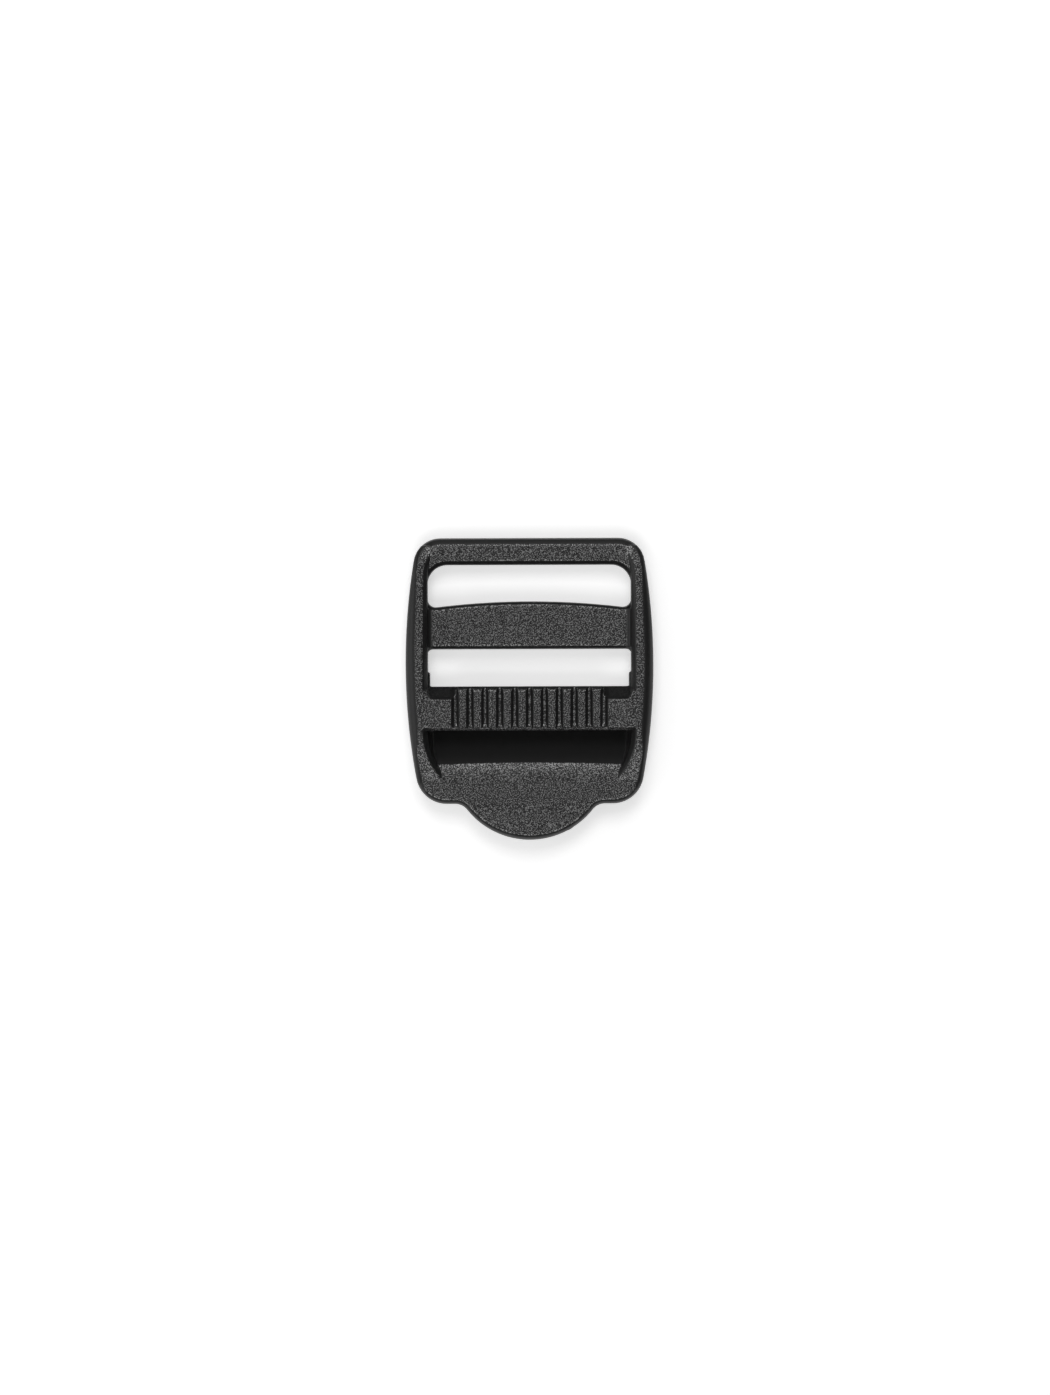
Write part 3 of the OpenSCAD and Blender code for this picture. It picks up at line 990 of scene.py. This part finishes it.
def makeAcetal():
    material = bpy.data.materials.new("blackAcetal")
    material.use_nodes = True
    tree = material.node_tree
    shader = tree.nodes["Principled BSDF"]
    shader.inputs["IOR"].default_value = acetal["ior"]

    def add(kind, **settings):
        node = tree.nodes.new(kind)
        for key, value in settings.items():
            setattr(node, key, value)
        return node

    def join(source, target):
        tree.links.new(source, target)

    coords = add("ShaderNodeTexCoord")
    mask = add("ShaderNodeAttribute", attribute_name="grain")
    spark = add("ShaderNodeTexNoise")
    spark.inputs["Scale"].default_value = acetal["grainScale"]
    spark.inputs["Detail"].default_value = 0.0
    pits = add("ShaderNodeTexVoronoi")
    pits.inputs["Scale"].default_value = acetal["pitScale"]
    wave = add("ShaderNodeTexNoise")
    wave.inputs["Scale"].default_value = acetal["waveScale"]
    wave.inputs["Detail"].default_value = 3.0
    for texture in (spark, pits, wave):
        join(coords.outputs["Object"], texture.inputs["Vector"])

    speckle = add("ShaderNodeMapRange")
    speckle.inputs["From Min"].default_value = acetal["speckle"][0]
    speckle.inputs["From Max"].default_value = acetal["speckle"][1]
    join(spark.outputs["Fac"], speckle.inputs["Value"])
    # mark of the painted highlight
    highlightMask = add("ShaderNodeAttribute", attribute_name="paintedHighlight")
    paleGrainAndHighlight = add("ShaderNodeMix", data_type="RGBA")
    paleGrainAndHighlight.inputs["A"].default_value = acetal["paleColour"]
    paleGrainAndHighlight.inputs["B"].default_value = acetal["highlightColour"]
    join(highlightMask.outputs["Fac"], paleGrainAndHighlight.inputs["Factor"])
    darkGrainAndHighlight = add("ShaderNodeMix", data_type="RGBA")
    darkGrainAndHighlight.inputs["A"].default_value = acetal["darkColour"]
    darkGrainAndHighlight.inputs["B"].default_value = acetal["highlightPitColour"]
    join(highlightMask.outputs["Fac"], darkGrainAndHighlight.inputs["Factor"])
    grainAndHighlight = add("ShaderNodeMix", data_type="RGBA")
    join(darkGrainAndHighlight.outputs["Result"], grainAndHighlight.inputs["A"])
    join(paleGrainAndHighlight.outputs["Result"], grainAndHighlight.inputs["B"])
    join(speckle.outputs["Result"], grainAndHighlight.inputs["Factor"])
    colour = add("ShaderNodeMix", data_type="RGBA")
    colour.inputs["A"].default_value = acetal["plainColour"]
    join(mask.outputs["Fac"], colour.inputs["Factor"])
    join(grainAndHighlight.outputs["Result"], colour.inputs["B"])
    join(colour.outputs["Result"], shader.inputs["Base Color"])

    rough = add("ShaderNodeMapRange")
    rough.inputs["To Min"].default_value = acetal["smoothRough"]
    rough.inputs["To Max"].default_value = acetal["grainRough"]
    join(mask.outputs["Fac"], rough.inputs["Value"])
    uneven = add("ShaderNodeMath", operation="MULTIPLY_ADD")
    uneven.inputs[1].default_value = acetal["waveRough"]
    join(wave.outputs["Fac"], uneven.inputs[0])
    join(rough.outputs["Result"], uneven.inputs[2])
    join(uneven.outputs[0], shader.inputs["Roughness"])

    height = add("ShaderNodeMath", operation="MULTIPLY_ADD")
    height.inputs[1].default_value = acetal["pitShare"]
    join(pits.outputs["Distance"], height.inputs[0])
    join(spark.outputs["Fac"], height.inputs[2])
    strength = add("ShaderNodeMapRange")
    strength.inputs["To Min"].default_value = acetal["smoothBump"]
    strength.inputs["To Max"].default_value = acetal["grainBump"]
    join(mask.outputs["Fac"], strength.inputs["Value"])
    bump = add("ShaderNodeBump")
    bump.inputs["Distance"].default_value = acetal["bumpHeight"]
    join(strength.outputs["Result"], bump.inputs["Strength"])
    join(height.outputs[0], bump.inputs["Height"])
    join(bump.outputs["Normal"], shader.inputs["Normal"])
    return material


blackAcetal = makeAcetal()
for node, piece in pieces.items():
    piece.data.materials.clear()
    piece.data.materials.append(blackAcetal)
    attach(piece, "root")
    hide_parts(node)
print("material on, pieces ride on root")

# stage: a white table among soft lamps, with none over it where the camera looks down
stage = {
    "floorSize": 3,
    "floorColour": (0.86, 0.86, 0.86, 1),
    "floorRough": 0.9,
    "floorLift": 0.47,  # seen by the camera only, so that the open table is white
    "worldLevel": 0.06,
    "lamps": [  # name, direction in degrees from +X, height in degrees, size in metres, power
        ("rearHighLamp", 94, 66, (0.4, 0.36), 2.7),
        ("frontHighLamp", 266, 66, (0.4, 0.36), 2.5),
        ("leftHighLamp", 180, 62, (0.5, 0.4), 0.6),
        ("rightHighLamp", 0, 62, (0.5, 0.4), 0.35),
        ("rearLowLamp", 90, 38, (0.9, 0.4), 0.9),
        ("leftLowLamp", 180, 20, (1.2, 0.55), 1.9),
    ],
    "lampDistance": 1.0,
}


def buildWorld():  # a dim surround for the light, plain white for the camera
    world = bpy.data.worlds.new("studio")
    world.use_nodes = True
    tree = world.node_tree
    ground = tree.nodes["Background"]
    ground.inputs["Color"].default_value = (1, 1, 1, 1)
    path = tree.nodes.new("ShaderNodeLightPath")
    level = tree.nodes.new("ShaderNodeMapRange")
    level.inputs["To Min"].default_value = stage["worldLevel"]
    level.inputs["To Max"].default_value = 1.0
    tree.links.new(path.outputs["Is Camera Ray"], level.inputs["Value"])
    tree.links.new(level.outputs["Result"], ground.inputs["Strength"])
    bpy.context.scene.world = world


def buildStage():
    bpy.ops.object.select_all(action="DESELECT")
    bpy.ops.mesh.primitive_plane_add(size=stage["floorSize"], location=(0, 0, 0))
    floor = bpy.context.object
    floor.name = "table"
    material = bpy.data.materials.new("whiteTable")
    material.use_nodes = True
    tree = material.node_tree
    shader = tree.nodes["Principled BSDF"]
    shader.inputs["Base Color"].default_value = stage["floorColour"]
    shader.inputs["Roughness"].default_value = stage["floorRough"]
    shader.inputs["Specular IOR Level"].default_value = 0.0
    shader.inputs["Emission Color"].default_value = (1, 1, 1, 1)
    path = tree.nodes.new("ShaderNodeLightPath")
    lift = tree.nodes.new("ShaderNodeMath")
    lift.operation = "MULTIPLY"
    lift.inputs[1].default_value = stage["floorLift"]
    tree.links.new(path.outputs["Is Camera Ray"], lift.inputs[0])
    tree.links.new(lift.outputs[0], shader.inputs["Emission Strength"])
    floor.data.materials.append(material)
    for name, turn, height, size, power in stage["lamps"]:
        a = math.radians(turn)
        e = math.radians(height)
        away = Vector((math.cos(a) * math.cos(e), math.sin(a) * math.cos(e), math.sin(e)))
        bpy.ops.object.light_add(type="AREA", location=away * stage["lampDistance"])
        lamp = bpy.context.object
        lamp.name = name
        lamp.data.shape = "RECTANGLE"
        lamp.data.size, lamp.data.size_y = size
        lamp.data.energy = power
        lamp.rotation_euler = away.to_track_quat("Z", "Y").to_euler()


buildStage()
buildWorld()
print("table and lamps set")

# camera: straight above, a long lens, framed as the photograph is
shot = {
    "distance": 0.75,
    "frameHigh": 0.18135,  # what the picture's height takes in at the object
    "centre": (-0.0006, -0.00112),
    "turn": -0.2,  # degrees
    "objectZ": 0.004,
    "sensor": 24.0,
}


def buildCamera():
    x, y = shot["centre"]
    bpy.ops.object.camera_add(
        location=(x, y, shot["objectZ"] + shot["distance"]),
        rotation=(0, 0, math.radians(shot["turn"])))
    camera = bpy.context.object
    camera.data.sensor_fit = "VERTICAL"
    camera.data.sensor_height = shot["sensor"]
    camera.data.lens = shot["sensor"] * shot["distance"] / shot["frameHigh"]
    bpy.context.scene.camera = camera
    bpy.context.scene.view_settings.view_transform = "Standard"


buildCamera()
